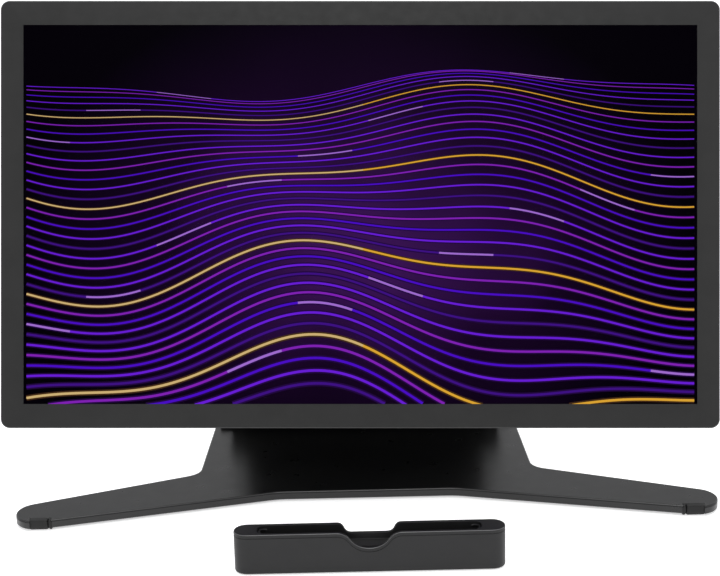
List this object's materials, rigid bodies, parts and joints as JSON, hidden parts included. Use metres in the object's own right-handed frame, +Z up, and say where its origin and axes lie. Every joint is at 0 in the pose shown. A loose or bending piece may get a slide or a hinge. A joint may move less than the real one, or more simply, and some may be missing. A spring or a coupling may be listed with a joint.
{
  "type": "pen drawing tablet",
  "caption": "Large flat pen display on a low spread-leg stand, with a hinged arm, tilting and turning head, and a loose pen tray.",
  "frame": {"origin": "on the desk, under the middle of the box round the display, its stand and its pen tray", "axes": "+X to the right as the user sees it, +Y away from the user, +Z up"},
  "size_m": [0.645, 0.374, 0.4534],
  "materials": {
    "base_metal": "satin powder coat",
    "under_cover": "fine grain",
    "rubber": "matt",
    "steel": "plated",
    "bush_brass": "sintered",
    "arm_shell": "fine grain",
    "cast_metal": "blasted",
    "lever_plastic": "fine grain",
    "cover_glass": "etched anti-glare",
    "bezel_ink": "printed ink behind glass",
    "screen": "lit picture",
    "optical_sheet": "clear moulded",
    "inner_metal": "mill finish",
    "circuit_board": "solder mask",
    "frame_metal": "dark anodised",
    "housing_plastic": "fine grain",
    "key_plastic": "soft touch",
    "fan_plastic": "glass filled",
    "connector_metal": "plated",
    "tray_plastic": "fine grain",
    "nib_plastic": "smooth"
  },
  "bodies": {
    "base": {"base_plate": "base_metal", "base_bottom_cover": "under_cover", "front_feet": "rubber", "rear_pads": "rubber", "base_brackets": "base_metal", "bracket_screws": "steel", "lift_pins": "steel", "lift_washers": "steel", "lift_springs": "steel"},
    "arm": {"arm_frame": "base_metal", "arm_bushes": "bush_brass", "arm_front_cover": "arm_shell", "arm_rear_cover": "arm_shell", "tilt_pin": "steel"},
    "tilt_head": {"tilt_bracket": "cast_metal", "lever_pins": "steel", "rotation_stator": "cast_metal"},
    "lever_left": {"release_lever_left": "lever_plastic"},
    "lever_right": {"release_lever_right": "lever_plastic"},
    "display": {"front_glass": "cover_glass", "bezel_mask": "bezel_ink", "lcd_panel": "screen", "light_guide": "optical_sheet", "backlight_tray": "inner_metal", "pen_sensor_board": "circuit_board", "mid_frame": "frame_metal", "rear_housing": "housing_plastic", "side_inserts": "bush_brass", "housing_screws": "steel", "key_boards": "circuit_board", "fan_housings": "fan_plastic", "chassis_plate": "inner_metal", "main_board": "circuit_board", "driver_board": "circuit_board", "heat_spreader": "inner_metal", "io_board": "circuit_board", "port_connectors": "connector_metal", "port_plate": "housing_plastic", "mount_plate": "cast_metal", "mount_screws": "steel", "rotation_shaft": "steel", "retaining_ring": "steel"},
    "fan_left": {"fan_rotor_left": "fan_plastic"},
    "fan_right": {"fan_rotor_right": "fan_plastic"},
    "power": {"power_button": "key_plastic"},
    "settings": {"settings_button": "key_plastic"},
    "touch": {"touch_switch": "key_plastic"},
    "tray": {"tray_shell": "tray_plastic", "tray_liner": "rubber", "tray_base_cover": "under_cover", "tray_pads": "rubber", "spare_nibs": "nib_plastic"},
    "key_1": {"shortcut_key_1": "key_plastic"},
    "key_2": {"shortcut_key_2": "key_plastic"},
    "key_3": {"shortcut_key_3": "key_plastic"},
    "key_4": {"shortcut_key_4": "key_plastic"},
    "key_5": {"shortcut_key_5": "key_plastic"},
    "key_6": {"shortcut_key_6": "key_plastic"},
    "key_7": {"shortcut_key_7": "key_plastic"},
    "key_8": {"shortcut_key_8": "key_plastic"}
  },
  "joints": [
    {"name": "arm_lift", "type": "hinge", "parent": "base", "child": "arm", "pos_m": [0, 0.1415, 0.04], "axis": [1, 0, 0], "range_deg": [-20, 15]},
    {"name": "display_tilt", "type": "hinge", "parent": "arm", "child": "tilt_head", "pos_m": [0, 0.0367, 0.2335], "axis": [-1, 0, 0], "range_deg": [-15, 63]},
    {"name": "display_rotate", "type": "hinge", "parent": "tilt_head", "child": "display", "pos_m": [0, -0.01821, 0.26597], "axis": [0, -0.9563, 0.2924], "range_deg": [-10.8, 13.2]},
    {"name": "lever_left_squeeze", "type": "hinge", "parent": "tilt_head", "child": "lever_left", "pos_m": [-0.064, 0.03604, 0.27239], "axis": [0, 0.2924, 0.9563], "range_deg": [0, 8], "stiffness_Nm_per_rad": 0.6, "springref_deg": -8.59},
    {"name": "lever_right_squeeze", "type": "hinge", "parent": "tilt_head", "child": "lever_right", "pos_m": [0.064, 0.03604, 0.27239], "axis": [0, -0.2924, -0.9563], "range_deg": [0, 8], "stiffness_Nm_per_rad": 0.6, "springref_deg": -8.59},
    {"name": "fan_left_spin", "type": "hinge", "parent": "display", "child": "fan_left", "pos_m": [-0.16723, 0.03904, 0.37796], "axis": [0, -0.9563, 0.2924], "continuous": true},
    {"name": "fan_right_spin", "type": "hinge", "parent": "display", "child": "fan_right", "pos_m": [0.17268, 0.03678, 0.37058], "axis": [0, -0.9563, 0.2924], "continuous": true},
    {"name": "power_press", "type": "slide", "parent": "display", "child": "power", "axis": [-0.0227, -0.2923, -0.9561], "range_m": [0, 0.0005], "stiffness_N_per_m": 600, "springref_m": -0.0006},
    {"name": "settings_press", "type": "slide", "parent": "display", "child": "settings", "axis": [-0.0227, -0.2923, -0.9561], "range_m": [0, 0.0005], "stiffness_N_per_m": 600, "springref_m": -0.0006},
    {"name": "touch_slide", "type": "slide", "parent": "display", "child": "touch", "axis": [0.9997, -0.0066, -0.0217], "range_m": [0, 0.005]},
    {"name": "tray_lift", "type": "slide", "parent": "base", "child": "tray", "axis": [0, 0, 1], "range_m": [0, 0.25]},
    {"name": "key_1_press", "type": "slide", "parent": "display", "child": "key_1", "axis": [0, -0.9563, 0.2924], "range_m": [0, 0.0008], "stiffness_N_per_m": 400, "springref_m": -0.001},
    {"name": "key_2_press", "type": "slide", "parent": "display", "child": "key_2", "axis": [0, -0.9563, 0.2924], "range_m": [0, 0.0008], "stiffness_N_per_m": 400, "springref_m": -0.001},
    {"name": "key_3_press", "type": "slide", "parent": "display", "child": "key_3", "axis": [0, -0.9563, 0.2924], "range_m": [0, 0.0008], "stiffness_N_per_m": 400, "springref_m": -0.001},
    {"name": "key_4_press", "type": "slide", "parent": "display", "child": "key_4", "axis": [0, -0.9563, 0.2924], "range_m": [0, 0.0008], "stiffness_N_per_m": 400, "springref_m": -0.001},
    {"name": "key_5_press", "type": "slide", "parent": "display", "child": "key_5", "axis": [0, -0.9563, 0.2924], "range_m": [0, 0.0008], "stiffness_N_per_m": 400, "springref_m": -0.001},
    {"name": "key_6_press", "type": "slide", "parent": "display", "child": "key_6", "axis": [0, -0.9563, 0.2924], "range_m": [0, 0.0008], "stiffness_N_per_m": 400, "springref_m": -0.001},
    {"name": "key_7_press", "type": "slide", "parent": "display", "child": "key_7", "axis": [0, -0.9563, 0.2924], "range_m": [0, 0.0008], "stiffness_N_per_m": 400, "springref_m": -0.001},
    {"name": "key_8_press", "type": "slide", "parent": "display", "child": "key_8", "axis": [0, -0.9563, 0.2924], "range_m": [0, 0.0008], "stiffness_N_per_m": 400, "springref_m": -0.001}
  ]
}
